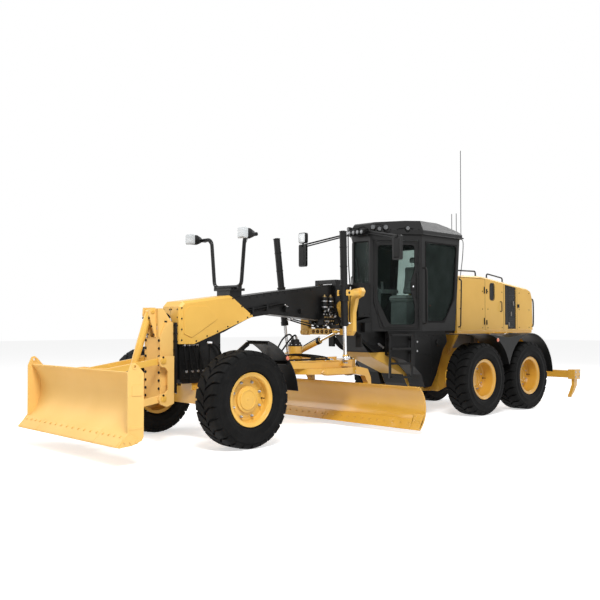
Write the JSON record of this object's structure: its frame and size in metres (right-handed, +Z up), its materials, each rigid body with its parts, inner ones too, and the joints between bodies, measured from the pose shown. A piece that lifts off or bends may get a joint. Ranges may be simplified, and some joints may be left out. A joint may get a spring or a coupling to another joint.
{
  "type": "motor grader",
  "caption": "Motor grader with an articulated frame, circle-mounted moldboard, front lift blade, glazed cab, tandem drive and rear ripper",
  "frame": {"origin": "middle of the machine's box, on the ground", "axes": "+X to the machine's left, +Y to the rear, +Z up; the front blade faces -Y"},
  "size_m": [3.962, 11.09, 4.78],
  "materials": {
    "yellow_paint": "satin",
    "black_paint": "satin",
    "tyre_rubber": "matt",
    "rod_chrome": "polished",
    "lamp_plastic": "gloss",
    "cab_glass": "gloss",
    "seat_fabric": "matt",
    "cab_plastic": "matt",
    "engine_iron": "rough"
  },
  "bodies": {
    "rear_chassis": {"rear_frame": "yellow_paint", "engine_block": "engine_iron", "hood": "yellow_paint", "hood_fittings": "black_paint", "rear_fenders": "black_paint"},
    "front_chassis": {"front_axle": "yellow_paint", "boom": "black_paint", "nose_shroud": "yellow_paint", "frame_tail": "yellow_paint", "saddle": "yellow_paint", "dozer_mast": "yellow_paint", "cab_shell": "black_paint", "cab_glass": "cab_glass", "seat": "seat_fabric", "cab_controls": "cab_plastic", "side_tanks": "black_paint", "ladders": "black_paint", "lamp_posts": "black_paint", "work_lamps": "lamp_plastic", "mirrors_and_antennas": "black_paint"},
    "knuckle_left": {"knuckle_left": "yellow_paint", "front_fender_left": "black_paint"},
    "wheel_front_left": {"tyre_front_left": "tyre_rubber", "rim_front_left": "yellow_paint"},
    "wheel_middle_left": {"tyre_middle_left": "tyre_rubber", "rim_middle_left": "yellow_paint"},
    "wheel_rear_left": {"tyre_rear_left": "tyre_rubber", "rim_rear_left": "yellow_paint"},
    "knuckle_right": {"knuckle_right": "yellow_paint", "front_fender_right": "black_paint"},
    "wheel_front_right": {"tyre_front_right": "tyre_rubber", "rim_front_right": "yellow_paint"},
    "wheel_middle_right": {"tyre_middle_right": "tyre_rubber", "rim_middle_right": "yellow_paint"},
    "wheel_rear_right": {"tyre_rear_right": "tyre_rubber", "rim_rear_right": "yellow_paint"},
    "tie_rod": {"tie_rod": "yellow_paint"},
    "door_left": {"door_left": "black_paint", "door_glass_left": "cab_glass"},
    "door_right": {"door_right": "black_paint", "door_glass_right": "cab_glass"},
    "drawbar": {"drawbar": "yellow_paint"},
    "circle": {"circle": "yellow_paint"},
    "blade_carrier": {"blade_carrier": "yellow_paint"},
    "moldboard": {"moldboard": "yellow_paint"},
    "lift_barrel_left": {"lift_barrel_left": "black_paint"},
    "lift_rod_left": {"lift_rod_left": "rod_chrome"},
    "lift_barrel_right": {"lift_barrel_right": "black_paint"},
    "lift_rod_right": {"lift_rod_right": "rod_chrome"},
    "shift_barrel": {"shift_barrel": "yellow_paint"},
    "shift_rod": {"shift_rod": "rod_chrome"},
    "front_blade_lower_arms": {"dozer_lower_arms": "yellow_paint"},
    "front_blade_upper_arms": {"dozer_upper_arms": "yellow_paint"},
    "front_blade": {"dozer_blade": "yellow_paint"},
    "front_blade_barrel": {"dozer_barrels": "yellow_paint"},
    "front_blade_rod": {"dozer_rods": "rod_chrome"},
    "ripper": {"ripper": "yellow_paint"},
    "ripper_barrel": {"ripper_barrel": "yellow_paint"},
    "ripper_rod": {"ripper_rod": "rod_chrome"}
  },
  "joints": [
    {"name": "articulation", "type": "hinge", "parent": "rear_chassis", "child": "front_chassis", "pos_m": [0, 1.49, 0.9], "axis": [0, 0, 1], "range_deg": [-20, 20]},
    {"name": "steer_left", "type": "hinge", "parent": "front_chassis", "child": "knuckle_left", "pos_m": [0.79, -3.56, 0.64], "axis": [0, 0, -1], "range_deg": [-47.5, 47.5]},
    {"name": "spin_front_left", "type": "hinge", "parent": "knuckle_left", "child": "wheel_front_left", "pos_m": [1.078, -3.56, 0.64], "axis": [1, 0, 0], "continuous": true},
    {"name": "spin_middle_left", "type": "hinge", "parent": "rear_chassis", "child": "wheel_middle_left", "pos_m": [1.078, 1.8015, 0.64], "axis": [1, 0, 0], "continuous": true},
    {"name": "spin_rear_left", "type": "hinge", "parent": "rear_chassis", "child": "wheel_rear_left", "pos_m": [1.078, 3.3245, 0.64], "axis": [1, 0, 0], "continuous": true},
    {"name": "steer_right", "type": "hinge", "parent": "front_chassis", "child": "knuckle_right", "pos_m": [-0.79, -3.56, 0.64], "axis": [0, 0, -1], "range_deg": [-47.5, 47.5]},
    {"name": "spin_front_right", "type": "hinge", "parent": "knuckle_right", "child": "wheel_front_right", "pos_m": [-1.078, -3.56, 0.64], "axis": [1, 0, 0], "continuous": true},
    {"name": "spin_middle_right", "type": "hinge", "parent": "rear_chassis", "child": "wheel_middle_right", "pos_m": [-1.078, 1.8015, 0.64], "axis": [1, 0, 0], "continuous": true},
    {"name": "spin_rear_right", "type": "hinge", "parent": "rear_chassis", "child": "wheel_rear_right", "pos_m": [-1.078, 3.3245, 0.64], "axis": [1, 0, 0], "continuous": true},
    {"name": "tie_rod_pivot", "type": "hinge", "parent": "knuckle_left", "child": "tie_rod", "pos_m": [0.79, -3.345, 0.5], "axis": [0, 0, -1], "range_deg": [-48, 48]},
    {"name": "door_left_hinge", "type": "hinge", "parent": "front_chassis", "child": "door_left", "pos_m": [0.76343, 0.59358, 2.25], "axis": [0, 0, 1], "range_deg": [0, 70]},
    {"name": "door_right_hinge", "type": "hinge", "parent": "front_chassis", "child": "door_right", "pos_m": [-0.76343, 0.59358, 2.25], "axis": [0, 0, -1], "range_deg": [0, 70]},
    {"name": "drawbar_lift", "type": "hinge", "parent": "front_chassis", "child": "drawbar", "pos_m": [0, -3.13, 0.9], "axis": [1, 0, 0], "range_deg": [-1.7, 7]},
    {"name": "circle_turn", "type": "hinge", "parent": "drawbar", "child": "circle", "pos_m": [0, -1.26, 0.9], "axis": [0, 0, 1], "range_deg": [-55, 55]},
    {"name": "blade_tip", "type": "hinge", "parent": "circle", "child": "blade_carrier", "pos_m": [0, -0.74, 0.245], "axis": [1, 0, 0], "range_deg": [-5, 40]},
    {"name": "blade_side_shift", "type": "slide", "parent": "blade_carrier", "child": "moldboard", "axis": [-1, 0, 0], "range_m": [-0.512, 0.663]},
    {"name": "lift_cylinder_left", "type": "hinge", "parent": "front_chassis", "child": "lift_barrel_left", "pos_m": [0.715, -1.228, 2.1], "axis": [1, 0, 0], "range_deg": [-1.45, 0.73]},
    {"name": "lift_rod_left_slide", "type": "slide", "parent": "lift_barrel_left", "child": "lift_rod_left", "axis": [-0.0533, 0.0804, -0.9953], "range_m": [-0.2525, 0.0689]},
    {"name": "lift_cylinder_right", "type": "hinge", "parent": "front_chassis", "child": "lift_barrel_right", "pos_m": [-0.715, -1.228, 2.1], "axis": [1, 0, 0], "range_deg": [-1.45, 0.73]},
    {"name": "lift_rod_right_slide", "type": "slide", "parent": "lift_barrel_right", "child": "lift_rod_right", "axis": [0.0533, 0.0804, -0.9953], "range_m": [-0.2525, 0.0689]},
    {"name": "centre_shift_cylinder", "type": "hinge", "parent": "drawbar", "child": "shift_barrel", "pos_m": [-0.56, -1.04, 1.13], "axis": [0, 1, 0], "range_deg": [-4.48, 16.89]},
    {"name": "centre_shift_rod_slide", "type": "slide", "parent": "shift_barrel", "child": "shift_rod", "axis": [0.9182, 0.0961, 0.3844], "range_m": [-0.086, 0.0285]},
    {"name": "front_blade_lift", "type": "hinge", "parent": "front_chassis", "child": "front_blade_lower_arms", "pos_m": [0, -4.255, 0.629], "axis": [-1, 0, 0], "range_deg": [-15.2, 30]},
    {"name": "front_blade_upper_arm_hinge", "type": "hinge", "parent": "front_chassis", "child": "front_blade_upper_arms", "pos_m": [0, -4.26, 1.133], "axis": [-1, 0, 0], "range_deg": [-16.2, 31]},
    {"name": "front_blade_level", "type": "hinge", "parent": "front_blade_lower_arms", "child": "front_blade", "pos_m": [0, -5.12, 0.505], "axis": [-1, 0, 0], "range_deg": [-31, 16.2]},
    {"name": "front_blade_cylinder", "type": "hinge", "parent": "front_chassis", "child": "front_blade_barrel", "pos_m": [0, -4.305, 1.785], "axis": [1, 0, 0], "range_deg": [-0.52, 0.51]},
    {"name": "front_blade_rod_slide", "type": "slide", "parent": "front_blade_barrel", "child": "front_blade_rod", "axis": [0, -0.311, -0.9504], "range_m": [-0.221, 0.1169]},
    {"name": "ripper_lift", "type": "hinge", "parent": "rear_chassis", "child": "ripper", "pos_m": [0, 4.67, 0.7], "axis": [1, 0, 0], "range_deg": [-10, 30]},
    {"name": "ripper_cylinder", "type": "hinge", "parent": "rear_chassis", "child": "ripper_barrel", "pos_m": [0, 4.64, 1.08], "axis": [1, 0, 0], "range_deg": [-8.25, 23.74]},
    {"name": "ripper_rod_slide", "type": "slide", "parent": "ripper_barrel", "child": "ripper_rod", "axis": [0, 0.8706, -0.4921], "range_m": [-0.1889, 0.0696]}
  ],
  "couplings": [
    {"joint": "steer_right", "follows": "steer_left", "ratio": 1},
    {"joint": "tie_rod_pivot", "follows": "steer_left", "ratio": -1},
    {"joint": "lift_cylinder_left", "follows": "drawbar_lift", "ratio": -0.13547},
    {"joint": "lift_rod_left_slide", "follows": "drawbar_lift", "m_per_rad": -1.9845},
    {"joint": "lift_cylinder_right", "follows": "drawbar_lift", "ratio": -0.13547},
    {"joint": "lift_rod_right_slide", "follows": "drawbar_lift", "m_per_rad": -1.9845},
    {"joint": "centre_shift_cylinder", "follows": "drawbar_lift", "ratio": 2.341},
    {"joint": "centre_shift_rod_slide", "follows": "drawbar_lift", "m_per_rad": -0.62185},
    {"joint": "front_blade_upper_arm_hinge", "follows": "front_blade_lift", "ratio": 1},
    {"joint": "front_blade_level", "follows": "front_blade_lift", "ratio": -1},
    {"joint": "front_blade_cylinder", "follows": "front_blade_lift", "ratio": -0.000559},
    {"joint": "front_blade_rod_slide", "follows": "front_blade_lift", "m_per_rad": -0.40305},
    {"joint": "ripper_cylinder", "follows": "ripper_lift", "ratio": 0.77471},
    {"joint": "ripper_rod_slide", "follows": "ripper_lift", "m_per_rad": -0.34164}
  ]
}
